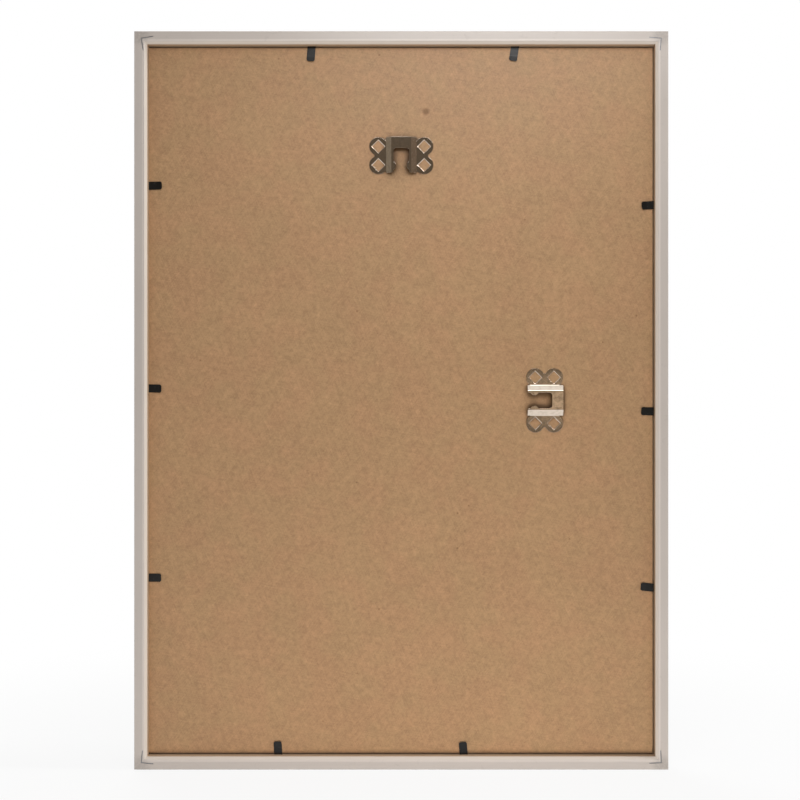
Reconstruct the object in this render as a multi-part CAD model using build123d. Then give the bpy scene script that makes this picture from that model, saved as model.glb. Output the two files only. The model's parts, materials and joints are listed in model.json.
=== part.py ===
"""Back-loading picture frame for a 500 by 700 mm picture.

Four mitred rails are pinned at their corners by V-shaped nails. A clear sheet, a picture sheet and a
fibreboard back drop into the rebate from behind, and bendable steel tabs driven into the rails hold
them there. Two stamped hangers are clinched into the back: one hangs the frame upright, the other
hangs it on its side.

The front faces -Y, +Z is up, and left and right are as seen from the front. The wall plane, on which
the backs of the rails lie, is Y = 0. The origin is where the nail bears in the upright hanger.
All lengths are in millimetres and all angles in degrees.
"""

import os
from math import radians, tan

from build123d import *

# Picture format and rebate
picture_width = 500.0
picture_height = 700.0
side_clearance = 0.8  # from the sheets' edges to the rebate wall on the left and right, when centred
end_clearance = 1.5  # the same at the top and bottom
sheet_side_gap = 0.2  # what is left on the right, where the sheets have slid over

# Rail section
rail_back_width = 12.5  # outer face to rebate wall
lip_overlap = 5.0  # front lip beyond the rebate wall
lip_thickness = 4.0
frame_depth = 20.0
back_inner_chamfer = 2.8
back_outer_round = 0.8
front_outer_round = 1.5
sight_round = 1.0
mitre_gap = 0.1

# Sheets in the rebate
glazing_thickness = 2.0
insert_thickness = 0.3
board_thickness = 3.0

# Corner nails
nail_leg = 12.0
nail_thickness = 1.0
nail_depth = 9.0
nail_recess = 0.3  # below the backs of the rails
nail_inset = 7.0  # outer faces of the frame to the middle of each leg

# How far each nail is turned about +Y, by its place up and across
nail_turns = {
    ("top", "right"): 9.0,
    ("top", "left"): -5.0,
    ("bottom", "right"): -6.0,
    ("bottom", "left"): 3.0,
}

# Bendable tabs
tab_width = 8.0
tab_thickness = 0.5
tab_length = 21.5  # point to tip
tab_corner_round = 2.0
tab_tip_length = 5.0  # end of the blade that lifts off the back
tab_tip_angle = 12.0
tab_tip_radius = 4.0  # on the middle of the strip, where it starts to lift
tab_bend_offset = 1.3  # rebate wall to bend line
tab_bend_clearance = 0.05  # between the root and the rounded end of the blade
tab_board_gap = 0.15
tab_root_point = 3.0  # length of the pointed end

# Each tab's distance from the middle of its rail, along +X or +Z, how far it leans about +Y, and how
# far it reaches from the rebate wall
tab_places = {
    "top": ((89.0, -4.0, 15.0), (-113.0, -9.0, 14.8)),
    "bottom": ((122.0, 4.0, 13.2), (-62.0, 5.0, 12.6)),
    "left": ((194.0, 4.0, 12.4), (-11.0, -2.0, 12.8), (-186.0, -6.0, 13.4)),
    "right": ((213.0, 1.0, 13.2), (12.0, -2.0, 12.8), (-176.0, 0.0, 12.6)),
}

# Hangers
hanger_inset = 100.0  # edge of the back to the line where the nail bears
hanger_sheet = 1.0
hanger_rise = 3.5  # clear height under the bridge
hanger_bend_radius = 1.2  # on the middle of the sheet
hanger_bridge_width = 19.0  # flat top of the bridge
hanger_ramp_run = 5.6
hanger_crossbar = 11.2  # top edge to the line where the nail bears
hanger_leg_setback = 1.4  # how much higher the legs end than the eyes
hanger_eye_radius = 9.1
hanger_eye_spacing = 45.4  # across the hanger
hanger_eye_pitch = 18.5  # along it
hanger_web_reach = 4.0  # web beyond the middle of the eyes
hanger_slot_width = 15.6
hanger_slot_round = 3.0
hanger_stop_reach = 2.6  # how far each stop narrows the slot
hanger_stop_radius = 4.4
hanger_stop_drop = 17.5  # line where the nail bears to the middle of the stops
eye_hole_side = 8.4
eye_hole_bevel = 0.6  # slope along the hole's edges, where the teeth fold
tooth_thickness = 0.8
tooth_corner_relief = 0.6  # end of each tooth to the corner of the hole
tooth_cover = 0.4  # board left in front of the points

# Sizes that follow from those above
opening_width = picture_width + 2 * side_clearance
opening_height = picture_height + 2 * end_clearance
outer_width = opening_width + 2 * rail_back_width
outer_height = opening_height + 2 * rail_back_width
rail_face_width = rail_back_width + lip_overlap

glazing_front_y = lip_thickness - frame_depth
insert_front_y = glazing_front_y + glazing_thickness
board_front_y = insert_front_y + insert_thickness
board_back_y = board_front_y + board_thickness
sheet_centre_x = side_clearance - sheet_side_gap
centre_z = hanger_inset - picture_height / 2

tab_mid_y = board_back_y + tab_board_gap + tab_thickness / 2
tab_root_end = tab_bend_offset - tab_thickness / 2 - tab_bend_clearance

hanger_length = hanger_eye_pitch + 2 * hanger_eye_radius
hanger_ramp_foot = hanger_bridge_width / 2 + hanger_ramp_run
nail_line = hanger_length / 2 - hanger_crossbar  # above the middle of the four eyes

toward_wall = Vector(0, 1, 0)
inward = {
    "top": Vector(0, 0, -1),
    "bottom": Vector(0, 0, 1),
    "left": Vector(1, 0, 0),
    "right": Vector(-1, 0, 0),
}
frame_centre = Vector(0, 0, centre_z)


def is_upright(side):
    """True for the left and right rails."""
    return inward[side].Z == 0


def rail_length(side):
    """Length of a rail along its outer face."""
    return outer_height if is_upright(side) else outer_width


def rail_plane(side):
    """Plane at the middle of a rail's outer edge: x along the rail, y inward, z toward the wall."""
    half_span = (outer_width if is_upright(side) else outer_height) / 2
    origin = frame_centre - inward[side] * half_span
    return Plane(origin, x_dir=inward[side].cross(toward_wall), z_dir=toward_wall)


def tab_plane(side, place, lean):
    """Plane where a tab leaves the rebate wall: x along its reach, y across it, z toward the wall."""
    half_opening = (opening_width if is_upright(side) else opening_height) / 2
    along = Vector(0, 0, 1) if is_upright(side) else Vector(1, 0, 0)
    origin = frame_centre - inward[side] * half_opening + along * place + toward_wall * tab_mid_y
    return Plane(origin, x_dir=inward[side].rotate(Axis.Y, lean), z_dir=toward_wall)


def hanger_plane(upright):
    """Plane on the back at the middle of a hanger's eyes: y up as the frame hangs, z toward the wall."""
    if upright:
        up = Vector(0, 0, 1)
        bearing = Vector(0, board_back_y, centre_z + picture_height / 2 - hanger_inset)
    else:
        up = Vector(-1, 0, 0)
        bearing = Vector(sheet_centre_x - picture_width / 2 + hanger_inset, board_back_y, centre_z)
    return Plane(bearing - up * nail_line, x_dir=up.cross(toward_wall), z_dir=toward_wall)


def outline(*points):
    """Flat face inside a closed run of straight lines."""
    return make_face(Polyline(*points, close=True))


def rail_blank(side):
    """Mitred rail with its rebate, before the nails and tabs are driven into it."""
    lip_back = lip_thickness - frame_depth
    section = outline(
        (0, 0),
        (rail_back_width - back_inner_chamfer, 0),
        (rail_back_width, -back_inner_chamfer),
        (rail_back_width, lip_back),
        (rail_face_width, lip_back),
        (rail_face_width, -frame_depth),
        (0, -frame_depth),
    )
    rounds = (
        ((0, 0), back_outer_round),
        ((0, -frame_depth), front_outer_round),
        ((rail_face_width, -frame_depth), sight_round),
    )
    for (across, depth), radius in rounds:
        section = fillet(section.vertices().sort_by_distance((across, depth, 0))[0], radius)
    half = rail_length(side) / 2
    bar = extrude(Plane.YZ * section, amount=half, both=True)
    end = half - mitre_gap / 2
    mitred = outline(
        (-end, 0),
        (end, 0),
        (end - rail_face_width, rail_face_width),
        (rail_face_width - end, rail_face_width),
    )
    return rail_plane(side) * (bar & extrude(mitred, amount=-frame_depth))


def corner_vee(height, hand, back_y):
    """Two legs meeting over one mitre, along the rails' middles, from back_y to the nail's tip."""
    side_x = 1 if hand == "right" else -1
    side_z = 1 if height == "top" else -1
    apex_x = side_x * (outer_width / 2 - nail_inset)
    apex_z = centre_z + side_z * (outer_height / 2 - nail_inset)
    depth = back_y + nail_recess + nail_depth
    length = nail_leg + nail_thickness / 2
    shift = nail_thickness / 2 - length / 2
    level = Pos(side_x * shift, 0, 0) * Box(length, depth, nail_thickness)
    upright = Pos(0, 0, side_z * shift) * Box(nail_thickness, depth, length)
    place = Pos(apex_x, back_y - depth / 2, apex_z) * Rot(0, nail_turns[height, hand], 0)
    return place * (level + upright)


def tab_root(plane, reach):
    """Pointed end of a tab, driven into the rail as far as the bend line."""
    half = tab_width / 2
    depth = tab_length - reach
    shoulder = tab_root_point - depth
    plan = outline(
        (tab_root_end, half),
        (shoulder, half),
        (-depth, 0),
        (shoulder, -half),
        (tab_root_end, -half),
    )
    return plane * extrude(plan, amount=tab_thickness / 2, both=True)


def tab_blade(plane, reach):
    """Free end of a tab, rounded about the bend line, lying over the back with its tip lifted."""
    tip_start = reach - tab_tip_length
    tip_rise = tab_tip_length * tan(radians(tab_tip_angle))
    bend_line = FilletPolyline(
        (tab_bend_offset, 0),
        (tip_start, 0),
        (reach, tip_rise),
        radius=tab_tip_radius,
    )
    strip = extrude(Plane.XZ * trace(bend_line, tab_thickness), amount=tab_width / 2, both=True)
    length = reach - tab_bend_offset
    plan = Pos(tab_bend_offset + length / 2, 0) * Rectangle(length, tab_width)
    plan = fillet(plan.vertices().group_by(Axis.X)[-1], tab_corner_round)
    blade = strip & extrude(plan, amount=tip_rise + tab_thickness, both=True)
    barrel = Pos(tab_bend_offset, 0, 0) * Rot(90, 0, 0) * Cylinder(tab_thickness / 2, tab_width)
    return plane * (blade + barrel)


def hanger_slot():
    """Slot that drops over the nail, with a rounded stop on each side."""
    length = nail_line + hanger_length / 2 + hanger_eye_radius
    slot = Pos(0, nail_line - length / 2) * Rectangle(hanger_slot_width, length)
    slot = fillet(slot.vertices().group_by(Axis.Y)[-1], hanger_slot_round)
    stop_x = hanger_slot_width / 2 - hanger_stop_reach + hanger_stop_radius
    for side in (-1, 1):
        slot -= Pos(side * stop_x, nail_line - hanger_stop_drop) * Circle(hanger_stop_radius)
    return slot


def eye_centres():
    """Middles of the four eyes."""
    for x in (-hanger_eye_spacing / 2, hanger_eye_spacing / 2):
        for y in (-hanger_eye_pitch / 2, hanger_eye_pitch / 2):
            yield x, y


def tooth(x, y, angle):
    """Tooth folded down from one side of an eye's square hole, into the board."""
    direction = Vector(1, 0, 0).rotate(Axis.Z, angle)
    edge = Plane(
        Vector(x, y, 0) + direction * (eye_hole_side / 2),
        x_dir=Vector(0, 0, 1).cross(direction),
        z_dir=direction,
    )
    half = eye_hole_side / 2 - tooth_corner_relief
    neck = (hanger_sheet - eye_hole_bevel) / 2
    shape = outline(
        (-half, neck),
        (-half, 0),
        (0, tooth_cover - board_thickness),
        (half, 0),
        (half, neck),
    )
    return edge * extrude(shape, amount=tooth_thickness)


def hanger(upright):
    """Stamped hanger: four toothed eyes, and a raised bridge with the slot for the nail."""
    low = hanger_sheet / 2
    high = hanger_rise + hanger_sheet / 2
    end = hanger_eye_spacing / 2 + hanger_eye_radius
    bend_line = FilletPolyline(
        (-end, low),
        (-hanger_ramp_foot, low),
        (-hanger_bridge_width / 2, high),
        (hanger_bridge_width / 2, high),
        (hanger_ramp_foot, low),
        (end, low),
        radius=hanger_bend_radius,
    )
    strip = extrude(Plane.XZ * trace(bend_line, hanger_sheet), amount=hanger_length / 2, both=True)

    body_length = hanger_length - hanger_leg_setback
    blank = Pos(0, hanger_leg_setback / 2) * Rectangle(2 * hanger_ramp_foot, body_length)
    blank += Rectangle(hanger_eye_spacing + 2 * hanger_web_reach, hanger_eye_pitch)
    for x, y in eye_centres():
        blank += Pos(x, y) * Circle(hanger_eye_radius)
    blank -= hanger_slot()
    eye_hole = Rot(0, 0, 45) * Rectangle(eye_hole_side, eye_hole_side)
    for x, y in eye_centres():
        blank -= Pos(x, y) * eye_hole
    plate = strip & extrude(blank, amount=hanger_rise + 2 * hanger_sheet)
    eye_bevel = extrude(eye_hole, amount=2 * eye_hole_bevel, taper=-45)
    for x, y in eye_centres():
        plate -= Pos(x, y, hanger_sheet - eye_hole_bevel) * eye_bevel
        for angle in (45, 135, 225, 315):
            plate += tooth(x, y, angle)
    return hanger_plane(upright) * plate


def sheet(front_y, thickness):
    """Flat sheet of the picture's size in the rebate."""
    place = Pos(sheet_centre_x, front_y + thickness / 2, centre_z)
    return place * Box(picture_width, thickness, picture_height)


parts = {}
roots = {side: [] for side in tab_places}
for side, places in tab_places.items():
    for number, (place, lean, reach) in enumerate(places, start=1):
        plane = tab_plane(side, place, lean)
        root = tab_root(plane, reach)
        roots[side].append(root)
        parts[f"{side}_tab_{number}_root"] = root
        parts[f"{side}_tab_{number}_blade"] = tab_blade(plane, reach)

pockets = {}
for corner in nail_turns:
    parts["corner_nail_" + "_".join(corner)] = corner_vee(*corner, -nail_recess)
    pockets[corner] = corner_vee(*corner, 0)

for side in tab_places:
    rail = rail_blank(side)
    for root in roots[side]:
        rail -= root
    for corner, pocket in pockets.items():
        if side in corner:
            rail -= pocket
    parts[f"{side}_rail"] = rail

parts["portrait_hanger"] = hanger(upright=True)
parts["landscape_hanger"] = hanger(upright=False)
parts["glazing_sheet"] = sheet(glazing_front_y, glazing_thickness)
parts["picture_insert"] = sheet(insert_front_y, insert_thickness)
parts["backing_board"] = (
    sheet(board_front_y, board_thickness) - parts["portrait_hanger"] - parts["landscape_hanger"]
)

os.makedirs("parts", exist_ok=True)
for name, shape in parts.items():
    export_step(shape, f"parts/{name}.step")
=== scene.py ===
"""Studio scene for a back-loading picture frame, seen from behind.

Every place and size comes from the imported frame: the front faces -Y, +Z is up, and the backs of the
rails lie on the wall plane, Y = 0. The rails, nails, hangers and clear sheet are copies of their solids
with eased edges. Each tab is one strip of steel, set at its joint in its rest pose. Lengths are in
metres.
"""

import json
import logging
from dataclasses import asdict, dataclass, field
from enum import Enum
from functools import cached_property, reduce
from math import radians, tan
from typing import Any

import bmesh
import bpy
from mathutils import Matrix, Vector


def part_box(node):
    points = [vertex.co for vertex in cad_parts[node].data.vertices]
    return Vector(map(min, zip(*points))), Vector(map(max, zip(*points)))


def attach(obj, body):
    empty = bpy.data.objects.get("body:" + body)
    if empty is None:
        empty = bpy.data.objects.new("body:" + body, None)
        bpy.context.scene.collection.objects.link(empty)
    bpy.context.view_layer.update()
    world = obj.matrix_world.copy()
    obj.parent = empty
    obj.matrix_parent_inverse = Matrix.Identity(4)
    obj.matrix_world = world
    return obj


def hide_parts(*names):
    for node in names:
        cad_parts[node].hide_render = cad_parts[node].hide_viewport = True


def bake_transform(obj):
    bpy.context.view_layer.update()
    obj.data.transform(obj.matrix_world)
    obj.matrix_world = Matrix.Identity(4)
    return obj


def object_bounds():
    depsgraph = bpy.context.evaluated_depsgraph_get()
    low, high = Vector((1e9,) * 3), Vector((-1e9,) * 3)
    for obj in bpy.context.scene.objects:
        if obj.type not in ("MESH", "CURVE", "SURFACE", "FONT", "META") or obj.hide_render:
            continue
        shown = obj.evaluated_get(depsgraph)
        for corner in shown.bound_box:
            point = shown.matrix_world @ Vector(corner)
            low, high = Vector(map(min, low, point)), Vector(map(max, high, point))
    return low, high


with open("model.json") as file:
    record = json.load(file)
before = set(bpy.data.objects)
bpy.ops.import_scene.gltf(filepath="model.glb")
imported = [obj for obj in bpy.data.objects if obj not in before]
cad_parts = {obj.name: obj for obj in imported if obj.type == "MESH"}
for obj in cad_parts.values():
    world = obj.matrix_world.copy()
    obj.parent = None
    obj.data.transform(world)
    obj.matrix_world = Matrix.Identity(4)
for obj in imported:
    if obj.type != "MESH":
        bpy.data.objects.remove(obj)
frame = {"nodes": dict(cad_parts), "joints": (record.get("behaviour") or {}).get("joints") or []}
cad_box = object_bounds()

log = logging.getLogger("picture_frame")

MM = 0.001
WELD = 0.002 * MM
FIXED_BODY = "frame"
HANGERS = ("portrait_hanger", "landscape_hanger")
TOWARD_WALL = Vector((0.0, 1.0, 0.0))
WHITE = (1.0, 1.0, 1.0)

Span = tuple[float, float]
Triple = tuple[float, float, float]
Colour = Triple
Socket = bpy.types.NodeSocket
Material = bpy.types.Material
Shape = bmesh.types.BMesh


class RailRun(Enum):
    """Which way a rail runs."""

    LEVEL = "level"
    UPRIGHT = "upright"


class Slot(Enum):
    """Names of material slots for the pieces that stand for solids, which this script does not assign.
    """

    MOULDING = "white_moulding"
    NAIL = "nail_steel"
    TAB = "black_steel"
    HANGER = "hanger_steel"
    GLASS = "clear_glass"


def linear(step: int) -> float:
    """Linear share of an sRGB step of 0 to 255."""
    share = step / 255
    return share / 12.92 if share <= 0.04045 else ((share + 0.055) / 1.055) ** 2.4


def paint(red: int, green: int, blue: int) -> Colour:
    """Linear colour of a paint chip that is read in steps of 0 to 255."""
    return (linear(red), linear(green), linear(blue))


@dataclass(frozen=True)
class Pattern:
    """Character of a soft random pattern.

    Attributes:
        scale: Cells in a metre of the place that it is drawn on.
        detail: Number of finer octaves.
        roughness: How strong the finer octaves are.
        distortion: How much the pattern is swirled.
    """

    scale: float = 1.0
    detail: float = 2.0
    roughness: float = 0.5
    distortion: float = 0.0


class Shading:
    """Node tree of one material or world, with a short call for each kind of node."""

    def __init__(self, name: str, world: bool = False) -> None:
        """Start an empty tree.

        Args:
            name: Name of the material or world.
            world: Whether it is a world.
        """
        self.owner = (bpy.data.worlds if world else bpy.data.materials).new(name)
        self.owner.use_nodes = True
        self.tree = self.owner.node_tree
        self.tree.nodes.clear()
        self.output = self.add("ShaderNodeOutputWorld" if world else "ShaderNodeOutputMaterial")

    def add(
        self, kind: str, inputs: dict[int | str, Any] | None = None, **settings: Any
    ) -> bpy.types.Node:
        """Add a node.

        Args:
            kind: Blender's name for the node.
            inputs: What its inputs are fed, by their place or name.
            **settings: Properties to set on it.

        Returns:
            The new node.
        """
        node = self.tree.nodes.new(kind)
        for name, value in settings.items():
            setattr(node, name, value)
        for key, value in (inputs or {}).items():
            self.feed(node.inputs[key], value)
        return node

    def feed(self, socket: Socket, value: Any) -> None:
        """Link a socket to another one, or set its value.

        Args:
            socket: Input to feed.
            value: Another node's output, a number, a vector or a colour of three numbers.
        """
        if isinstance(value, Socket):
            self.tree.links.new(value, socket)
        elif socket.type == "RGBA":
            socket.default_value = (*value, 1.0)
        else:
            socket.default_value = value

    def finish(self, shader: Socket) -> Material | bpy.types.World:
        """Show a shader, and hand over its material or world."""
        self.feed(self.output.inputs["Surface"], shader)
        return self.owner

    @cached_property
    def place(self) -> Socket:
        """Place on the object, in metres."""
        return self.add("ShaderNodeTexCoord").outputs["Object"]

    def along(self, place: Socket, axis: str) -> Socket:
        """X, Y or Z of a place."""
        return self.add("ShaderNodeSeparateXYZ", {0: place}).outputs[axis]

    def beyond(self, axis: str, start: float) -> Socket:
        """How far a place on the object lies beyond a start, along X, Y or Z."""
        return self.calc("SUBTRACT", self.along(self.place, axis), start)

    def outside(self, axis: str, middle: Vector, half: float) -> Socket:
        """How far a place on the object lies outside a span along X, Y or Z, by its middle and half."""
        offset = self.beyond(axis, middle["XYZ".index(axis)])
        return self.calc("SUBTRACT", self.calc("ABSOLUTE", offset), half)

    def stretched(self, scale: Triple, turn: float = 0.0) -> Socket:
        """Place on the object, turned about Y and then scaled along each axis.

        Args:
            scale: Scale along X, Y and Z.
            turn: Turn about Y in degrees.

        Returns:
            The new place.
        """
        angle = {"Vector": self.place, "Angle": radians(turn)}
        turned = self.add("ShaderNodeVectorRotate", angle, rotation_type="Y_AXIS")
        sizes = {0: turned.outputs[0], 1: scale}
        return self.add("ShaderNodeVectorMath", sizes, operation="MULTIPLY").outputs[0]

    def noise(self, pattern: Pattern, place: Socket | None = None) -> Socket:
        """Soft random pattern around a half.

        Args:
            pattern: Its character.
            place: Place that it is drawn on, if it isn't the place on the object.

        Returns:
            A number from 0 to 1.
        """
        inputs: dict[int | str, Any] = {name.title(): value for name, value in asdict(pattern).items()}
        inputs["Vector"] = self.place if place is None else place
        return self.add("ShaderNodeTexNoise", inputs).outputs["Fac"]

    def calc(self, operation: str, first: Any, second: Any = 0.0) -> Socket:
        """One step of arithmetic, by Blender's name for it, on numbers or sockets."""
        return self.add("ShaderNodeMath", {0: first, 1: second}, operation=operation).outputs[0]

    def times(self, first: Any, second: Any) -> Socket:
        """Product of two numbers or sockets."""
        return self.calc("MULTIPLY", first, second)

    def total(self, *parts: Any) -> Socket:
        """Sum of two or more numbers or sockets."""
        return reduce(lambda running, part: self.calc("ADD", part, running), parts)

    def reach(self, first: Socket, second: Socket) -> Socket:
        """Distance that two offsets at right angles give."""
        squares = [self.times(offset, offset) for offset in (first, second)]
        return self.calc("SQRT", self.calc("ADD", *squares))

    def remap(self, value: Socket, start: Span, end: Span = (0.0, 1.0)) -> Socket:
        """Smooth ramp of a number between two limits, which become two ends and hold there."""
        inputs = dict(zip(("Value", "From Min", "From Max", "To Min", "To Max"), (value, *start, *end)))
        return self.add("ShaderNodeMapRange", inputs, interpolation_type="SMOOTHSTEP").outputs["Result"]

    def fade(self, value: Socket, start: Span) -> Socket:
        """Smooth fall from 1 to 0 between two limits of a number."""
        return self.remap(value, start, (1.0, 0.0))

    def spread(self, share: Socket, low: Any, high: Any) -> Socket:
        """Even ramp from a low number, where a share is 0, to a high one, where it is 1."""
        inputs = {"Value": share, "To Min": low, "To Max": high}
        return self.add("ShaderNodeMapRange", inputs).outputs["Result"]

    def swing(self, pattern: Socket, amount: float) -> Socket:
        """Pattern around a half as a swing around zero, up to an amount at its ends."""
        return self.spread(pattern, -amount, amount)

    def mix(self, share: Any, first: Any, second: Any) -> Socket:
        """Colour between a first one, where a share is 0, and a second one, where it is 1."""
        inputs = {0: share, 6: first, 7: second}
        return self.add("ShaderNodeMix", inputs, data_type="RGBA").outputs[2]

    def shaded(self, colour: Socket, tone: Any) -> Socket:
        """Colour times a tone around 1."""
        inputs = {0: colour, "Scale": tone}
        return self.add("ShaderNodeVectorMath", inputs, operation="SCALE").outputs[0]

    def bump(self, height: Socket, depth: float) -> Socket:
        """Normal of a pressed or grained surface, from a pattern and its real height."""
        return self.add("ShaderNodeBump", {"Height": height, "Distance": depth}).outputs["Normal"]

    def surface(self, **values: Any) -> Socket:
        """Principled shader, with inputs fed by their names with underscores for spaces."""
        inputs = {name.replace("_", " "): value for name, value in values.items()}
        return self.add("ShaderNodeBsdfPrincipled", inputs).outputs[0]

    def either(self, share: Socket, first: Socket, second: Socket) -> Socket:
        """Shader between a first one, where a share is 0, and a second one, where it is 1."""
        return self.add("ShaderNodeMixShader", {0: share, 1: first, 2: second}).outputs[0]

    def seen_ray(self) -> Socket:
        """Tell rays that show a thing from rays that light it.

        Returns:
            1 for a ray from the camera, from a mirror or through glass, else 0.
        """
        path = self.add("ShaderNodeLightPath").outputs
        mirrored = self.calc("MAXIMUM", path["Is Camera Ray"], path["Is Glossy Ray"])
        return self.calc("MAXIMUM", mirrored, path["Is Transmission Ray"])


@dataclass(frozen=True)
class MouldingFinish:
    """Warm white foil, matt on the face and smoother on the back, over a core bare in the rebate.

    Attributes:
        run: Which way the rail runs, and so its fine lines.
        middle: Middle of the frame.
        wall: Rebate wall from that middle, across the rail.
        lip: Depth of the lip that closes the rebate.
        nail: Bend of each corner nail from the middle of the frame, along X and Z.
        face: Colour of the front, sides and chamfer.
        back: Colour of the back.
        core: Colour of the bare core.
        back_fade: Depths between which the back gives way to the face.
        bare_start: Depths between which the foil ends on the rebate wall.
        bare_margin: Distances from the wall and the lip between which the bare core ends.
        rubbed_start: Distances from the wall between which a painted highlight beside the chamfer
            starts.
        rubbed_end: Distances from the wall between which it ends.
        rubbed_share: How much lighter the painted highlight is.
        bruise: Distances from the bend of a nail between which its bruise fades.
        bruise_share: How much darker the bruise is.
        bruise_break: Pattern that breaks the bruise up.
        bruise_left: Limits of that pattern, and how much of the bruise they leave.
        lines: Pattern of the fine lines.
        line_scale: Lines in a metre along X, Y and Z, on a level rail.
        line_relief: Height of the lines against the peel.
        cloud: Pattern of the broad clouds.
        scuff: Pattern of the scuffs.
        scuff_range: Where in that pattern a scuff starts.
        scuff_share: How much darker a scuff is.
        scuff_rough: How much rougher it is.
        peel: Pattern of the fine orange peel.
        relief: Height of the peel.
        tone_swing: Swing of the tone with lines and clouds.
        rough_swing: Swing of the roughness with the clouds.
        rough: Roughness of the face and of the back.
    """

    run: RailRun
    middle: Vector
    wall: float
    lip: float
    nail: Span
    face: Colour = paint(206, 195, 183)
    back: Colour = paint(186, 176, 168)
    core: Colour = paint(172, 146, 119)
    back_fade: Span = (-0.7 * MM, -0.2 * MM)
    bare_start: Span = (-3.1 * MM, -2.6 * MM)
    bare_margin: Span = (0.2 * MM, 0.4 * MM)
    rubbed_start: Span = (1.667 * MM, 3.133 * MM)
    rubbed_end: Span = (3.867 * MM, 5.333 * MM)
    rubbed_share: float = 0.2
    bruise: Span = (4.0 * MM, 12.0 * MM)
    bruise_share: float = 0.2
    bruise_break: Pattern = Pattern(420.0, detail=4.0)
    bruise_left: tuple[Span, Span] = ((0.3, 0.6), (0.4, 1.0))
    lines: Pattern = Pattern(detail=3.0)
    line_scale: Triple = (5.0, 900.0, 900.0)
    line_relief: float = 1.5
    cloud: Pattern = Pattern(18.0, detail=3.0)
    scuff: Pattern = Pattern(130.0, detail=6.0, distortion=0.8)
    scuff_range: Span = (0.6, 0.74)
    scuff_share: float = 0.07
    scuff_rough: float = 0.1
    peel: Pattern = Pattern(1400.0, detail=1.0)
    relief: float = 0.02 * MM
    tone_swing: float = 0.05
    rough_swing: float = 0.06
    rough: Span = (0.75, 0.32)

    def bruises(self, shade: Shading) -> Socket:
        """Bruised foil around the corner nails.

        Args:
            shade: Material being built.

        Returns:
            1 on a nail, fading to 0.
        """
        offsets = [shade.outside(axis, self.middle, nail) for axis, nail in zip("XZ", self.nail)]
        near = shade.fade(shade.reach(*offsets), self.bruise)
        return shade.times(near, shade.remap(shade.noise(self.bruise_break), *self.bruise_left))

    def bare(self, shade: Shading, depth: Socket, past: Socket) -> Socket:
        """Where the foil leaves the core bare.

        Args:
            shade: Material being built.
            depth: Depth behind the backs of the rails.
            past: Distance from the rebate wall.

        Returns:
            1 in the rebate, else 0.
        """
        near, far = self.bare_margin
        under = shade.fade(depth, self.bare_start)
        over = shade.remap(depth, (self.lip - far, self.lip - near))
        return shade.times(shade.times(under, over), shade.fade(past, self.bare_margin))

    def make(self) -> Material:
        """Build the material.

        Returns:
            The material.
        """
        shade = Shading(f"moulding_{self.run.value}")
        upright = self.run is RailRun.UPRIGHT
        depth = shade.along(shade.place, "Y")
        past = shade.outside("X" if upright else "Z", self.middle, self.wall)
        on_back = shade.remap(depth, self.back_fade)
        scale = self.line_scale[::-1] if upright else self.line_scale
        grain = shade.noise(self.lines, shade.stretched(scale))
        cloud = shade.noise(self.cloud)
        scuff = shade.remap(shade.noise(self.scuff), self.scuff_range)
        # Painted highlight: a lighter line on the back beside the chamfer.
        rubbed = shade.times(shade.remap(past, self.rubbed_start), shade.fade(past, self.rubbed_end))
        # Scuffs and nail bruises darken the back; the painted highlight lightens it.
        wear = shade.total(
            shade.times(scuff, -self.scuff_share),
            shade.times(rubbed, self.rubbed_share),
            shade.times(self.bruises(shade), -self.bruise_share),
        )
        tone = shade.total(
            1.0,
            shade.swing(grain, self.tone_swing),
            shade.swing(cloud, self.tone_swing),
            shade.times(wear, on_back),
        )
        foil = shade.mix(on_back, self.face, self.back)
        rough = shade.total(
            shade.spread(on_back, *self.rough),
            shade.swing(cloud, self.rough_swing),
            shade.times(scuff, self.scuff_rough),
        )
        height = shade.calc("ADD", shade.noise(self.peel), shade.times(grain, self.line_relief))
        surface = shade.surface(
            Base_Color=shade.shaded(shade.mix(self.bare(shade, depth, past), foil, self.core), tone),
            Roughness=rough,
            Normal=shade.bump(height, self.relief),
            IOR=1.48,
        )
        return shade.finish(surface)


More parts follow.
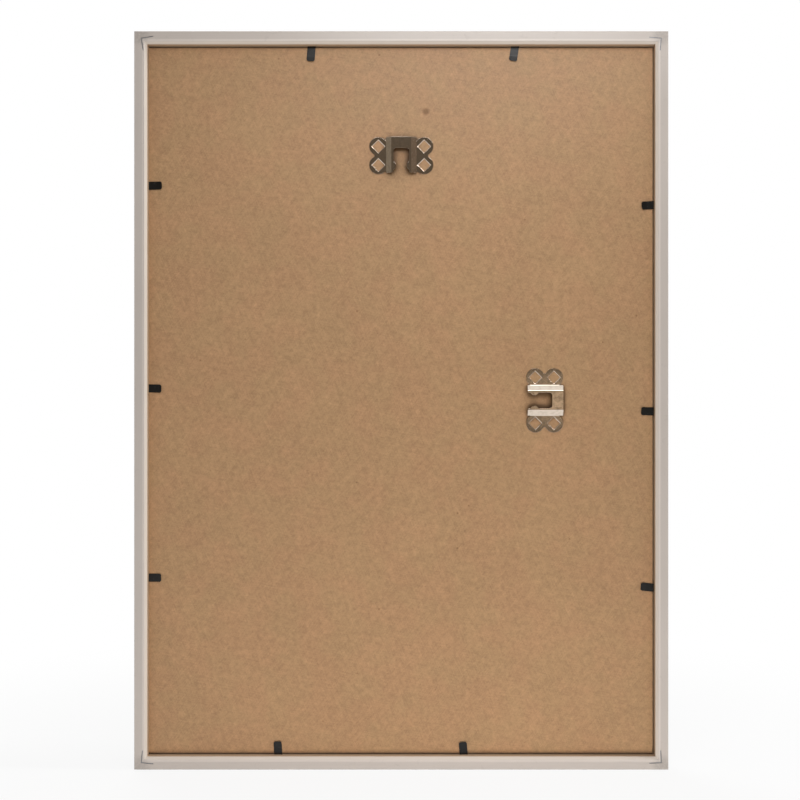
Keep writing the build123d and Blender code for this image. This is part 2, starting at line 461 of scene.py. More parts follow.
@dataclass(frozen=True)
class FibreboardFinish:
    """Brown hardboard: pressed fibres, cloudy tone and dark specks, with painted shadow under the
    hangers.

    Attributes:
        colour: Mean colour.
        warm: Redder colour of the clouds.
        dark: Colour of the specks.
        fibre: Pattern of the fibres.
        fibre_turns: Directions of the fibres, in degrees.
        fibre_scale: Fibres in a metre along X, Y and Z, before their turn.
        mottle: Pattern of the fine mottle.
        cloud: Pattern of the broad clouds.
        tint: Pattern of the redder clouds.
        tint_range: Where in that pattern they start.
        tone_swings: Swing of the tone with fibres, mottle and clouds.
        rough: Mean roughness.
        rough_swings: Swing of the roughness with mottle and fibres.
        relief: Height of the fibres.
        speck_scale: Cells in a metre that may hold a speck.
        speck_radius: Distances from its middle between which a speck ends, in cells.
        speck_choice: Random values between which a cell gets its speck.
        speck_share: How dark the specks are.
        blemish: Where one larger speck lies, along X and Z.
        blemish_radius: Distances from its middle between which it ends.
        blemish_share: How dark it is.
        grime: Colour of the painted shadow under the raised middles of the hangers.
        grime_reach: How far away a hanger still casts the painted shadow on the board.
        grime_power: How fast the painted shadow fades in the open.
        grime_rays: Rays that look for a hanger.
        grime_drop: How far below the hangers the painted shadow lies.
        grime_fade: Distances beside a raised middle between which the painted shadow ends.
        raised_share: Share of a hanger's length that is raised.
    """

    colour: Colour = paint(167, 132, 95)
    warm: Colour = paint(169, 131, 95)
    dark: Colour = paint(112, 78, 47)
    fibre: Pattern = Pattern(distortion=0.5)
    fibre_turns: Triple = (12.0, 68.0, 131.0)
    fibre_scale: Triple = (110.0, 1100.0, 1100.0)
    mottle: Pattern = Pattern(240.0, detail=5.0, roughness=0.65)
    cloud: Pattern = Pattern(11.0, detail=4.0, roughness=0.55)
    tint: Pattern = Pattern(34.0)
    tint_range: Span = (0.35, 0.65)
    tone_swings: Triple = (0.18, 0.3, 0.08)
    rough: float = 0.48
    rough_swings: Span = (0.1, 0.06)
    relief: float = 0.05 * MM
    speck_scale: float = 90.0
    speck_radius: Span = (0.05, 0.13)
    speck_choice: Span = (0.9, 0.97)
    speck_share: float = 0.6
    blemish: Span = (-24.4 * MM, 36.8 * MM)
    blemish_radius: Span = (0.3 * 4.9 * MM, 4.9 * MM)
    blemish_share: float = 0.75
    # Painted shadow under the hangers: its colour, and how far and how fast it spreads.
    grime: Colour = paint(72, 45, 12)
    grime_reach: float = 12.0 * MM
    grime_power: float = 3.6
    grime_rays: int = 4
    grime_drop: float = 2.5 * MM
    grime_fade: Span = (0.0, 6.0 * MM)
    raised_share: float = 0.5

    def fibres(self, shade: Shading) -> Socket:
        """Criss-cross fibres, as a number around a half."""
        places = (shade.stretched(self.fibre_scale, turn) for turn in self.fibre_turns)
        return shade.total(0.5, *(shade.swing(shade.noise(self.fibre, place), 0.5) for place in places))

    def specks(self, shade: Shading) -> Socket:
        """Small dark specks, in a few of many cells.

        Args:
            shade: Material being built.

        Returns:
            1 on a speck, else 0.
        """
        inputs = {"Vector": shade.place, "Scale": self.speck_scale}
        cells = shade.add("ShaderNodeTexVoronoi", inputs).outputs
        near = shade.fade(cells["Distance"], self.speck_radius)
        return shade.times(near, shade.remap(shade.along(cells["Color"], "X"), self.speck_choice))

    def spot(self, shade: Shading) -> Socket:
        """The one larger speck: 1 at its middle, else 0."""
        offsets = [shade.beyond(axis, middle) for axis, middle in zip("XZ", self.blemish)]
        return shade.fade(shade.reach(*offsets), self.blemish_radius)

    def beside(self, shade: Shading, node: str) -> Socket:
        """Neighbourhood of the raised middle of a hanger.

        Args:
            shade: Material being built.
            node: Name of the hanger.

        Returns:
            1 under and close to it, fading to 0.
        """
        low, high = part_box(node)
        size = high - low
        middle = (low + high) / 2 - Vector((0.0, 0.0, self.grime_drop))
        halves = [side / 2 * (self.raised_share if side == max(size) else 1.0) for side in size]
        away = [shade.outside(axis, middle, half) for axis, half in zip("XZ", halves[::2])]
        return shade.fade(shade.calc("MAXIMUM", *away), self.grime_fade)

    def dust(self, shade: Shading) -> Socket:
        """Painted shadow under the raised middles of the hangers, deepest where they hem the board in.

        Args:
            shade: Material being built.

        Returns:
            Near 1 where the painted shadow is deep, else 0.
        """
        around = {"Distance": self.grime_reach}
        sky = shade.add("ShaderNodeAmbientOcclusion", around, samples=self.grime_rays)
        bare = shade.calc("POWER", sky.outputs["AO"], self.grime_power)
        near = shade.calc("MAXIMUM", *(self.beside(shade, node) for node in HANGERS))
        return shade.times(near, shade.calc("SUBTRACT", 1.0, bare))

    def make(self) -> Material:
        """Build the material.

        Returns:
            The material.
        """
        shade = Shading("hardboard")
        fibre = self.fibres(shade)
        mottle = shade.noise(self.mottle)
        patterns = (fibre, mottle, shade.noise(self.cloud))
        tone = shade.total(1.0, *map(shade.swing, patterns, self.tone_swings))
        tint = shade.remap(shade.noise(self.tint), self.tint_range)
        colour = shade.shaded(shade.mix(tint, self.colour, self.warm), tone)
        colour = shade.mix(shade.times(self.specks(shade), self.speck_share), colour, self.dark)
        colour = shade.mix(shade.times(self.spot(shade), self.blemish_share), colour, self.dark)
        surface = shade.surface(
            # The painted shadow under the hangers darkens the board's colour.
            Base_Color=shade.mix(self.dust(shade), colour, self.grime),
            Roughness=shade.total(self.rough, *map(shade.swing, (mottle, fibre), self.rough_swings)),
            Normal=shade.bump(shade.calc("ADD", fibre, mottle), self.relief),
            IOR=1.42,
        )
        return shade.finish(surface)


@dataclass(frozen=True)
class SteelFinish:
    """Bare or plated steel sheet with a rolled, slightly stained surface.

    Attributes:
        name: Name of the material.
        colour: Colour of the clean metal.
        stain: Colour where it has dulled.
        rough: Roughness of the clean metal.
        stain_share: How much of the stain shows.
        stain_rough: How much rougher it is.
        bloom: Pattern of the stain.
        bloom_range: Where in that pattern the stain starts.
        scratch: Pattern of the rolling marks.
        scratch_scale: Marks in a metre along each axis.
        scratch_turn: Their turn in degrees.
        scratch_rough: Swing of the roughness with them.
        relief: Their height.
    """

    name: str
    colour: Colour
    stain: Colour
    rough: float
    stain_share: float = 0.5
    stain_rough: float = 0.04
    bloom: Pattern = Pattern(220.0, detail=5.0, roughness=0.6, distortion=0.4)
    bloom_range: Span = (0.42, 0.68)
    scratch: Pattern = Pattern(detail=3.0)
    scratch_scale: Triple = (2600.0, 900.0, 160.0)
    scratch_turn: float = 24.0
    scratch_rough: float = 0.02
    relief: float = 0.01 * MM

    def make(self) -> Material:
        """Build the material.

        Returns:
            The material.
        """
        shade = Shading(self.name)
        patch = shade.remap(shade.noise(self.bloom), self.bloom_range)
        scratch = shade.noise(self.scratch, shade.stretched(self.scratch_scale, self.scratch_turn))
        duller = shade.times(patch, self.stain_rough)
        surface = shade.surface(
            Base_Color=shade.mix(shade.times(patch, self.stain_share), self.colour, self.stain),
            Metallic=1.0,
            Roughness=shade.total(self.rough, duller, shade.swing(scratch, self.scratch_rough)),
            Normal=shade.bump(scratch, self.relief),
        )
        return shade.finish(surface)


@dataclass(frozen=True)
class BlackSteelFinish:
    """Blackened spring steel, with rubbed spots that show a little of the metal.

    Attributes:
        colour: Colour of the blacking.
        rubbed: Colour of the rubbed spots.
        rough: Mean roughness.
        wear: Pattern of the wear.
        wear_range: Where in that pattern a rubbed spot starts.
        grain: Pattern of the fine grain.
        rough_swings: Swing of the roughness with wear and grain.
        relief: Height of the grain.
    """

    colour: Colour = (0.007, 0.0063, 0.0056)
    rubbed: Colour = (0.045, 0.04, 0.035)
    rough: float = 0.34
    wear: Pattern = Pattern(420.0, detail=6.0, roughness=0.7)
    wear_range: Span = (0.58, 0.75)
    grain: Pattern = Pattern(2400.0)
    rough_swings: Span = (0.12, 0.06)
    relief: float = 0.01 * MM

    def make(self) -> Material:
        """Build the material.

        Returns:
            The material.
        """
        shade = Shading("blackened_steel")
        wear = shade.noise(self.wear)
        grain = shade.noise(self.grain)
        surface = shade.surface(
            Base_Color=shade.mix(shade.remap(wear, self.wear_range), self.colour, self.rubbed),
            Roughness=shade.total(self.rough, *map(shade.swing, (wear, grain), self.rough_swings)),
            Normal=shade.bump(grain, self.relief),
            IOR=1.4,
        )
        return shade.finish(surface)


@dataclass(frozen=True)
class GlassFinish:
    """Clear sheet with a faint green body and a few dull smears.

    Attributes:
        colour: Tint of the sheet.
        smear: Pattern of the smears.
        smear_range: Where in that pattern a smear starts.
        rough: Roughness of the clean and of the smeared sheet.
    """

    colour: Colour = (0.985, 0.996, 0.991)
    smear: Pattern = Pattern(9.0, detail=5.0, roughness=0.6, distortion=1.2)
    smear_range: Span = (0.5, 0.8)
    rough: Span = (0.015, 0.07)

    def make(self) -> Material:
        """Build the material, which light passes straight through.

        Returns:
            The material.
        """
        shade = Shading("clear_sheet")
        shown = shade.surface(
            Base_Color=self.colour,
            Roughness=shade.remap(shade.noise(self.smear), self.smear_range, self.rough),
            Transmission_Weight=1.0,
            IOR=1.5,
        )
        straight_through = shade.add("ShaderNodeBsdfTransparent", {"Color": self.colour}).outputs[0]
        path = shade.add("ShaderNodeLightPath").outputs
        for ray in ("Is Shadow Ray", "Is Diffuse Ray"):
            shown = shade.either(path[ray], shown, straight_through)
        return shade.finish(shown)


@dataclass(frozen=True)
class PaperFinish:
    """Blank picture sheet: soft white paper with fine fibres.

    Attributes:
        colour: Colour of the paper.
        fleck: Colour of its darkest fibres.
        fleck_range: Where in the fibres' pattern a fleck starts.
        fibre: Pattern of the fibres.
        cloud: Pattern of the broad clouds.
        tone_swings: Swing of the tone with clouds and fibres.
        rough: Mean roughness.
        rough_swing: Swing of the roughness with the fibres.
        relief: Height of the fibres.
    """

    colour: Colour = paint(240, 238, 231)
    fleck: Colour = paint(214, 208, 196)
    fleck_range: Span = (0.55, 0.8)
    fibre: Pattern = Pattern(900.0, detail=4.0, roughness=0.7, distortion=1.5)
    cloud: Pattern = Pattern(16.0, detail=3.0)
    tone_swings: Span = (0.025, 0.03)
    rough: float = 0.8
    rough_swing: float = 0.1
    relief: float = 0.03 * MM

    def make(self) -> Material:
        """Build the material.

        Returns:
            The material.
        """
        shade = Shading("blank_paper")
        fibre = shade.noise(self.fibre)
        patterns = (shade.noise(self.cloud), fibre)
        tone = shade.total(1.0, *map(shade.swing, patterns, self.tone_swings))
        flecked = shade.mix(shade.remap(fibre, self.fleck_range), self.colour, self.fleck)
        surface = shade.surface(
            Base_Color=shade.shaded(flecked, tone),
            Roughness=shade.total(self.rough, shade.swing(fibre, self.rough_swing)),
            Normal=shade.bump(fibre, self.relief),
        )
        return shade.finish(surface)


@dataclass(frozen=True)
class FloorFinish:
    """Pale floor that reads as white in the picture and still takes the frame's shadow.

    Attributes:
        colour: Colour of the floor.
        speckle: Pattern of its speckle.
        speckle_tone: Tone of the darkest speckle.
        near_glow: Share of plain white in what the camera sees, close to the frame.
        glow_fade: Distances from the frame's middle between which that share becomes whole.
    """

    colour: Colour = (0.7, 0.7, 0.695)
    speckle: Pattern = Pattern(60.0, detail=3.0)
    speckle_tone: float = 0.98
    near_glow: float = 0.85
    glow_fade: Span = (0.3, 0.85)

    def make(self) -> Material:
        """Build the material.

        Returns:
            The material.
        """
        shade = Shading("pale_floor")
        darkest = tuple(self.speckle_tone * part for part in self.colour)
        speckled = shade.mix(shade.noise(self.speckle), self.colour, darkest)
        base = shade.surface(Base_Color=speckled, Roughness=0.9)
        away = shade.reach(*(shade.along(shade.place, axis) for axis in "XY"))
        glow = shade.remap(away, self.glow_fade, (self.near_glow, 1.0))
        white = shade.add("ShaderNodeEmission").outputs[0]
        return shade.finish(shade.either(shade.times(shade.seen_ray(), glow), base, white))


def new_piece(name: str, shape: Shape, material: Material) -> bpy.types.Object:
    """Turn a finished shape into an object at the origin.

    Args:
        name: Name of the piece.
        shape: Its shape, which is freed.
        material: Its finish.

    Returns:
        The object.
    """
    data = bpy.data.meshes.new(name)
    shape.to_mesh(data)
    shape.free()
    data.materials.append(material)
    piece = bpy.data.objects.new(name, data)
    bpy.context.scene.collection.objects.link(piece)
    return piece


def smooth_over(shape: Shape, crease: float) -> None:
    """Shade a shape smooth, except along creases.

    Args:
        shape: Shape to shade.
        crease: Angle in degrees from which an edge stays sharp.
    """
    for face in shape.faces:
        face.smooth = True
    for edge in shape.edges:
        edge.smooth = edge.is_manifold and edge.calc_face_angle(0.0) < radians(crease)


def weld_corners(shape: Shape) -> None:
    """Make corners that lie on each other one."""
    bmesh.ops.remove_doubles(shape, verts=shape.verts, dist=WELD)


def bevel(shape: Shape, geom: list[Any], width: float, segments: int, affect: str = "EDGES") -> None:
    """Round edges or corners of a shape.

    Args:
        shape: Shape to round.
        geom: Its edges or corners to round.
        width: Width of the round.
        segments: Steps in the round.
        affect: EDGES or VERTICES.
    """
    bmesh.ops.bevel(
        shape,
        geom=geom,
        offset=width,
        offset_type="OFFSET",
        affect=affect,
        segments=segments,
        profile=0.5,
        material=-1,
        clamp_overlap=False,
    )


def flatten_shading(piece: bpy.types.Object, weight: int = 90) -> None:
    """Keep a piece's flat faces flat beside its eased edges.

    Args:
        piece: Piece to shade.
        weight: How strongly large faces count.
    """
    weighted = piece.modifiers.new("flat_faces", "WEIGHTED_NORMAL")
    weighted.keep_sharp = True
    weighted.weight = weight


@dataclass(frozen=True)
class Easing:
    """How far the sharp edges of a solid are eased.

    Attributes:
        width: Width of the eased edge.
        least_edge: Shortest edge that is eased.
        segments: Steps in the round.
        crease: Angle in degrees from which an edge counts as sharp.
        flat: Angle in degrees up to which neighbouring faces are one.
        hollows: Whether inside corners are eased too.
    """

    width: float
    least_edge: float = 0.0
    segments: int = 2
    crease: float = 38.0
    flat: float = 0.5
    hollows: bool = True

    def copy_of(self, node: str) -> Shape:
        """Copy a solid's shape with its sharp edges eased.

        Args:
            node: Name of the solid.

        Returns:
            The eased shape.
        """
        shape = bmesh.new()
        shape.from_mesh(frame["nodes"][node].data)
        weld_corners(shape)
        bmesh.ops.dissolve_limit(
            shape, angle_limit=radians(self.flat), verts=shape.verts, edges=shape.edges
        )
        sharp = [
            edge
            for edge in shape.edges
            if edge.is_manifold
            and edge.calc_face_angle(0.0) > radians(self.crease)
            and edge.calc_length() >= self.least_edge
            and (self.hollows or edge.is_convex)
        ]
        bevel(shape, sharp, self.width, self.segments)
        weld_corners(shape)
        smooth_over(shape, self.crease)
        return shape


def stand_for(node: str, easing: Easing, material: Material) -> None:
    """Put an eased copy in the place of a solid of the fixed body.

    Args:
        node: Name of the solid.
        easing: How its edges are eased.
        material: Finish of the copy.
    """
    piece = new_piece(f"{node}_finished", easing.copy_of(node), material)
    flatten_shading(piece)
    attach(piece, FIXED_BODY)
    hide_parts(node)
    log.info("%s stands for %s", piece.name, node)


def dress(node: str, material: Material) -> None:
    """Give a solid its finish.

    Args:
        node: Name of the solid.
        material: Finish.
    """
    data = frame["nodes"][node].data
    data.materials.clear()
    data.materials.append(material)
    log.info("%s dressed in %s", node, material.name)


@dataclass
class Moulding:
    """Four mitred rails and the nails that pin their corners.

    Attributes:
        board_gap: Least gap between the back and the rebate wall, by run of rail.
        rail_easing: Easing of the rails' long outer edges.
        nail_easing: Easing of the nails.
        nail_finish: Finish of the nails.
    """

    board_gap: dict[RailRun, float] = field(
        default_factory=lambda: {RailRun.UPRIGHT: 0.2 * MM, RailRun.LEVEL: 1.5 * MM}
    )
    rail_easing: Easing = Easing(width=0.5 * MM, least_edge=100.0 * MM, segments=4, hollows=False)
    nail_easing: Easing = Easing(width=0.12 * MM)
    nail_finish: SteelFinish = SteelFinish(
        name="nail_steel",
        colour=(0.3, 0.305, 0.315),
        stain=(0.17, 0.17, 0.175),
        rough=0.5,
    )

    def finishes(self) -> dict[RailRun, Material]:
        """Finish of each run of rail, set out from the back and the glazing.

        Returns:
            The two materials.
        """
        middle = sum(cad_box, Vector()) / 2
        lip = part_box("glazing_sheet")[0].y
        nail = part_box("corner_nail_top_right")[1] - middle
        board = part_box("backing_board")
        made = {}
        for run, axis in ((RailRun.UPRIGHT, 0), (RailRun.LEVEL, 2)):
            wall = max(abs(corner[axis] - middle[axis]) for corner in board) + self.board_gap[run]
            made[run] = MouldingFinish(run, middle, wall, lip, (nail.x, nail.z)).make()
        return made

    def build(self) -> None:
        """Make the rails and the nails."""
        runs = self.finishes()
        for node in sorted(frame["nodes"]):
            if node.endswith("_rail"):
                low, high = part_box(node)
                upright = (high - low).z > (high - low).x
                run = RailRun.UPRIGHT if upright else RailRun.LEVEL
                stand_for(node, self.rail_easing, runs[run])
        steel = self.nail_finish.make()
        for node in sorted(frame["nodes"]):
            if node.startswith("corner_nail_"):
                stand_for(node, self.nail_easing, steel)


@dataclass
class RebateStack:
    """Clear sheet, blank picture sheet and hardboard back in the rebate.

    Attributes:
        glazing_easing: Rubbed edge of the clear sheet.
    """

    glazing_easing: Easing = Easing(width=0.3 * MM)

    def build(self) -> None:
        """Dress the sheets."""
        stand_for("glazing_sheet", self.glazing_easing, GlassFinish().make())
        dress("picture_insert", PaperFinish().make())
        dress("backing_board", FibreboardFinish().make())


@dataclass
class Hangers:
    """Two stamped hangers clinched into the back.

    Attributes:
        easing: Easing of the stamped edges.
        finish: Finish of the plated steel.
    """

    easing: Easing = Easing(width=0.14 * MM)
    finish: SteelFinish = SteelFinish(
        name="plated_steel",
        colour=(0.741, 0.633, 0.527),
        stain=(0.57, 0.478, 0.386),
        rough=0.08,
    )

    def build(self) -> None:
        """Make both hangers."""
        steel = self.finish.make()
        for node in HANGERS:
            stand_for(node, self.easing, steel)


@dataclass
class BendTab:
    """One bendable tab: a strip of steel, pointed where it is driven in, with a lifted round tip.

    Attributes:
        joint: Its joint in the record.
        tip_round: Radius of the corners at the tip.
        tip_steps: Steps in that round.
        tip_length: End of the strip that lifts off the back.
        tip_angle: How far it lifts, in degrees.
        tip_bend: Length over which the lift starts.
        tip_cuts: Cuts across each half of that length.
        point_length: Length of the pointed end.
        bend_before: How far before the bend line the strip starts to bend.
        bend_after: How far after it the bend is whole.
        bend_cuts: Cuts across the bend.
        sheared: Angle in degrees from which an edge counts as sheared.
        edge_ease: Easing of the sheared edges.
        edge_steps: Steps in that easing.
        crease: Angle in degrees from which an edge is shaded sharp.
    """

    joint: dict[str, Any]
    tip_round: float = 2.0 * MM
    tip_steps: int = 6
    tip_length: float = 5.0 * MM
    tip_angle: float = 12.0
    tip_bend: float = 0.9 * MM
    tip_cuts: int = 4
    point_length: float = 3.0 * MM
    bend_before: float = 0.3 * MM
    bend_after: float = 1.3 * MM
    bend_cuts: int = 12
    sheared: float = 70.0
    edge_ease: float = 0.09 * MM
    edge_steps: int = 2
    crease: float = 60.0

    def __post_init__(self) -> None:
        """Work out the strip's own axes and measure its two solids along them."""
        self.name = self.joint["child"]
        self.pivot = Vector(self.joint["pos_m"])
        self.across = Vector(self.joint["axis"]).normalized()
        self.reach = TOWARD_WALL.cross(self.across)
        self.root_start = self.span("root", self.reach)[0]
        self.tip_end = self.span("blade", self.reach)[1]
        self.tip_start = self.tip_end - self.tip_length
        self.half_width = self.span("blade", self.across)[1]
        self.half_thickness = self.span("root", TOWARD_WALL)[1]

    def span(self, end: str, direction: Vector) -> Span:
        """Extent of one of the tab's solids from the bend line.

        Args:
            end: root or blade.
            direction: Direction to measure along.

        Returns:
            The least and the greatest distance.
        """
        corners = frame["nodes"][f"{self.name}_{end}"].data.vertices
        along = [(corner.co - self.pivot).dot(direction) for corner in corners]
        return min(along), max(along)

    def outline(self) -> Shape:
        """Flat strip with its point, its round tip and the cuts where it will curve.

        Returns:
            The strip in its own axes: x along it from the bend line, y across, z toward the wall.
        """
        strip = bmesh.new()
        length = self.tip_end - self.root_start
        middle = Matrix.Translation(((self.tip_end + self.root_start) / 2, 0.0, 0.0))
        size = Matrix.Diagonal((length, 2 * self.half_width, 1.0, 1.0))
        bmesh.ops.create_grid(strip, x_segments=1, y_segments=1, size=0.5, matrix=middle @ size)
        tip = [corner for corner in strip.verts if corner.co.x > 0.0]
        bevel(strip, tip, self.tip_round, self.tip_steps, affect="VERTICES")
        for hand in (-1.0, 1.0):
            slope = Vector((-self.half_width, hand * self.point_length, 0.0))
            self.cut(strip, Vector((self.root_start, 0.0, 0.0)), slope, trim=True)
        for place in self.cut_places():
            self.cut(strip, Vector((place, 0.0, 0.0)), Vector((1.0, 0.0, 0.0)))
        self.cut(strip, Vector(), Vector((0.0, 1.0, 0.0)))
        return strip

    @staticmethod
    def cut(strip: Shape, point: Vector, normal: Vector, trim: bool = False) -> None:
        """Cut a strip by a plane.

        Args:
            strip: Strip to cut.
            point: Point on the plane.
            normal: Normal of the plane.
            trim: Whether what lies beyond the plane is cut off.
        """
        everything = [*strip.verts, *strip.edges, *strip.faces]
        bmesh.ops.bisect_plane(
            strip, geom=everything, dist=WELD, plane_co=point, plane_no=normal, clear_outer=trim
        )

    def cut_places(self) -> list[float]:
        """Where the strip is cut across.

        Returns:
            Places along its bend and where its tip starts to lift.
        """
        bend = self.bend_before + self.bend_after
        cuts = [bend * step / self.bend_cuts - self.bend_before for step in range(self.bend_cuts + 1)]
        steps = range(-self.tip_cuts, self.tip_cuts + 1)
        return cuts + [self.tip_start + self.tip_bend * step / self.tip_cuts for step in steps]

    def lift_tip(self, strip: Shape) -> None:
        """Curve the end of the strip off the back.

        Args:
            strip: Flat strip.
        """
        slope = tan(radians(self.tip_angle))
        for corner in strip.verts:
            past = corner.co.x - self.tip_start
            if past >= self.tip_bend:
                corner.co.z += past * slope
            elif past > -self.tip_bend:
                corner.co.z += slope * (past + self.tip_bend) ** 2 / (4 * self.tip_bend)

    def thicken(self, strip: Shape) -> None:
        """Give the strip its thickness and ease its sheared edges.

        Args:
            strip: Curved strip without thickness.
        """
        bmesh.ops.recalc_face_normals(strip, faces=strip.faces)
        bmesh.ops.translate(strip, verts=strip.verts, vec=(0.0, 0.0, -self.half_thickness))
        raised = bmesh.ops.extrude_face_region(strip, geom=strip.faces[:])["geom"]
        top = [part for part in raised if isinstance(part, bmesh.types.BMVert)]
        bmesh.ops.translate(strip, verts=top, vec=(0.0, 0.0, 2 * self.half_thickness))
        bmesh.ops.recalc_face_normals(strip, faces=strip.faces)
        sheared = [edge for edge in strip.edges if edge.calc_face_angle(0.0) > radians(self.sheared)]
        bevel(strip, sheared, self.edge_ease, self.edge_steps)
        weld_corners(strip)

    def build(self, material: Material) -> None:
        """Make the strip and set it in the rail at its joint.

        Args:
            material: Finish of the steel.
        """
        strip = self.outline()
        self.lift_tip(strip)
        self.thicken(strip)
        axes = Matrix((self.reach, TOWARD_WALL.cross(self.reach), TOWARD_WALL)).transposed()
        seat = Matrix.Translation(self.pivot) @ axes.to_4x4()
        bmesh.ops.transform(strip, matrix=seat, verts=strip.verts)
        smooth_over(strip, self.crease)
        piece = new_piece(f"{self.name}_strip", strip, material)
        flatten_shading(piece)
        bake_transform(piece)
        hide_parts(f"{self.name}_root", f"{self.name}_blade")
        log.info("%s bends at %s", piece.name, self.joint["name"])


@dataclass(frozen=True)
class Lamp:
    """One soft white lamp, aimed at the middle of the frame.

    Attributes:
        name: Name of the lamp.
        offset: Where it stands from the middle of the frame.
        size: Width and height of its face.
        power: Power in watts.
        mirrored: Whether glossy surfaces show it.
    """

    name: str
    offset: Triple
    size: Span
    power: float
    mirrored: bool = True

    def hang(self, middle: Vector) -> None:
        """Put the lamp up.

        Args:
            middle: Middle of the frame.
        """
        light = bpy.data.lights.new(self.name, "AREA")
        light.shape = "RECTANGLE"
        light.size, light.size_y = self.size
        light.energy = self.power
        light.cycles.use_multiple_importance_sampling = self.mirrored
        lamp = bpy.data.objects.new(self.name, light)
        lamp.location = middle + Vector(self.offset)
        lamp.rotation_euler = (-Vector(self.offset)).to_track_quat("-Z", "Y").to_euler()
        lamp.visible_camera = False
        lamp.visible_glossy = self.mirrored
        bpy.context.scene.collection.objects.link(lamp)
        log.info("lamp %s", self.name)


@dataclass(frozen=True)
class Card:
    """Glowing card that only mirrors see: it paints reflections into glossy surfaces, though it is no
    lamp.

    Attributes:
        name: Name of the card.
        low: Its lower corner, across and up from the middle of the frame.
        high: Its upper corner.
        colour: Light that it gives off.
    """

    name: str
    low: Span
    high: Span
    colour: Colour = (0.116, 0.095, 0.072)

    def make(self) -> Material:
        """Build its finish, which glows."""
        shade = Shading(self.name)
        return shade.finish(shade.add("ShaderNodeEmission", {"Color": self.colour}).outputs[0])


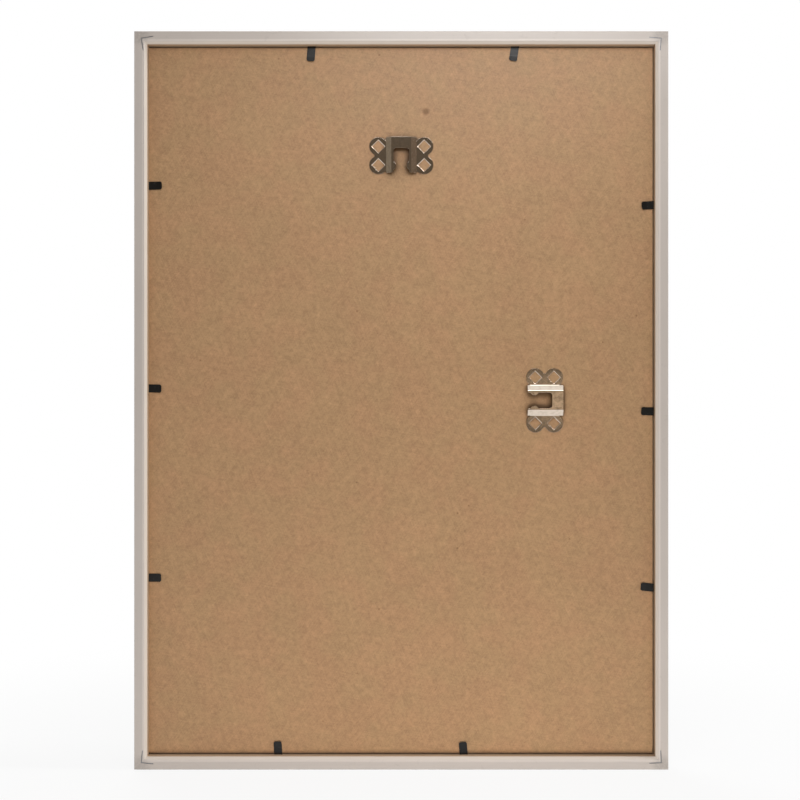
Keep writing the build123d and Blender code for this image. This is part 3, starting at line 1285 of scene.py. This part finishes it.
@dataclass
class Studio:
    """Floor, lamps, cards, white surround and the camera behind the frame.

    Attributes:
        distance: Camera to the backs of the rails.
        picture_width: Width of the picture in pixels.
        pixels_per_metre: Scale of the picture on the backs of the rails.
        aim: How far the frame's middle lies right of and below the picture's, in pixels.
        sensor: Width of the camera's sensor in millimetres.
        floor_side: Side of the floor.
        floor_drop: Floor below the frame's lower edge.
        ambient: Strength of the surround as a light, level with the eye and overhead.
        card_distance: Backs of the rails to the cards behind the camera.
        cards: The glowing cards that paint reflections, dark ones without a colour of their own.
        lamps: The lamps.
    """

    distance: float = 1.4
    picture_width: float = 800.0
    pixels_per_metre: float = 1014.7
    aim: Span = (1.3, 0.4)
    sensor: float = 36.0
    floor_side: float = 12.0
    floor_drop: float = 0.1 * MM
    ambient: Span = (0.32, 0.65)
    card_distance: float = 2.2
    # Glowing cards seen only in reflections: painted reflections in the metal.
    cards: tuple[Card, ...] = (
        Card("left_card", (3.0, -0.55), (7.0, 1.8), (0.239, 0.215, 0.177)),
        Card("dark_card", (-0.3, -0.55), (3.0, 1.8)),
        Card("low_card", (-7.0, -0.55), (-0.3, -0.04)),
        Card("warm_card", (-2.0, -0.04), (-0.3, 0.04), (0.758, 0.599, 0.434)),
        Card("high_card", (-2.0, 0.04), (-0.3, 1.8)),
        Card("right_card", (-7.0, -0.04), (-2.0, 1.8), (0.179, 0.141, 0.108)),
    )
    lamps: tuple[Lamp, ...] = (
        Lamp("top_lamp", (-0.11, 0.45, 0.51), (0.45, 0.17), 1.62),
        Lamp("bottom_lamp", (-0.1, 0.6, -0.6), (0.5, 0.22), 2.65, mirrored=False),
        Lamp("side_lamp", (-1.8, 0.12, 1.7), (0.3, 0.9), 30.0),
        Lamp("front_lamp", (0.7, -1.7, 1.2), (1.4, 1.0), 18.0, mirrored=False),
    )

    def __post_init__(self) -> None:
        """Find the middle and the lower edge of the frame."""
        low, high = cad_box
        self.middle = Vector(((low.x + high.x) / 2, 0.0, (low.z + high.z) / 2))
        self.floor_level = low.z - self.floor_drop

    def flat(self, name: str, sides: Span, seat: Matrix, material: Material) -> bpy.types.Object:
        """Flat stage piece.

        Args:
            name: Name of the piece.
            sides: Its width and height.
            seat: Where it stands.
            material: Its finish.

        Returns:
            The piece.
        """
        sheet = bmesh.new()
        size = Matrix.Diagonal((*sides, 1.0, 1.0))
        bmesh.ops.create_grid(sheet, x_segments=1, y_segments=1, size=0.5, matrix=seat @ size)
        piece = new_piece(name, sheet, material)
        return piece

    def lay_floor(self) -> None:
        """Lay the floor under the frame. Lamps reach through it, so that one can stand below."""
        seat = Matrix.Translation((self.middle.x, 0.0, self.floor_level))
        floor = self.flat("floor", (self.floor_side, self.floor_side), seat, FloorFinish().make())
        floor.visible_shadow = False

    def hang_card(self, card: Card) -> None:
        """Hang a card behind the camera, where only mirrors see it.

        Args:
            card: Card to hang.
        """
        across, up = ((low + high) / 2 for low, high in zip(card.low, card.high))
        width, height = (high - low for low, high in zip(card.low, card.high))
        seat = Matrix.Translation(self.middle + Vector((across, self.card_distance, up)))
        turn = Matrix.Rotation(radians(90.0), 4, "X")
        piece = self.flat(card.name, (width, height), seat @ turn, card.make())
        for ray in ("camera", "diffuse", "transmission", "shadow"):
            setattr(piece, f"visible_{ray}", False)

    def surround(self) -> None:
        """Put up a white surround that lights softly and shows as white."""
        shade = Shading("surround", world=True)
        height = shade.along(shade.add("ShaderNodeTexCoord").outputs["Generated"], "Z")
        strength = shade.spread(shade.seen_ray(), shade.spread(height, *self.ambient), 1.0)
        white = shade.add("ShaderNodeBackground", {"Color": WHITE, "Strength": strength})
        bpy.context.scene.world = shade.finish(white.outputs[0])

    def set_camera(self) -> None:
        """Stand the camera behind the frame, square to it."""
        data = bpy.data.cameras.new("camera")
        data.sensor_width = self.sensor
        data.lens = self.pixels_per_metre * self.distance * self.sensor / self.picture_width
        camera = bpy.data.objects.new("camera", data)
        right, down = (pixels / self.pixels_per_metre for pixels in self.aim)
        camera.location = self.middle + Vector((right, self.distance, down))
        camera.rotation_euler = (radians(90.0), 0.0, radians(180.0))
        bpy.context.scene.collection.objects.link(camera)
        bpy.context.scene.camera = camera

    def build(self) -> None:
        """Set up the studio."""
        self.lay_floor()
        for card in self.cards:
            self.hang_card(card)
        self.surround()
        for lamp in self.lamps:
            lamp.hang(self.middle)
        self.set_camera()
        bpy.context.scene.view_settings.view_transform = "Standard"


def main() -> None:
    """Build the frame's pieces and the studio."""
    logging.basicConfig(level=logging.INFO, format="%(name)s: %(message)s")
    Moulding().build()
    RebateStack().build()
    Hangers().build()
    black = BlackSteelFinish().make()
    for joint in frame["joints"]:
        BendTab(joint).build(black)
    Studio().build()


if __name__ == "__main__":
    main()
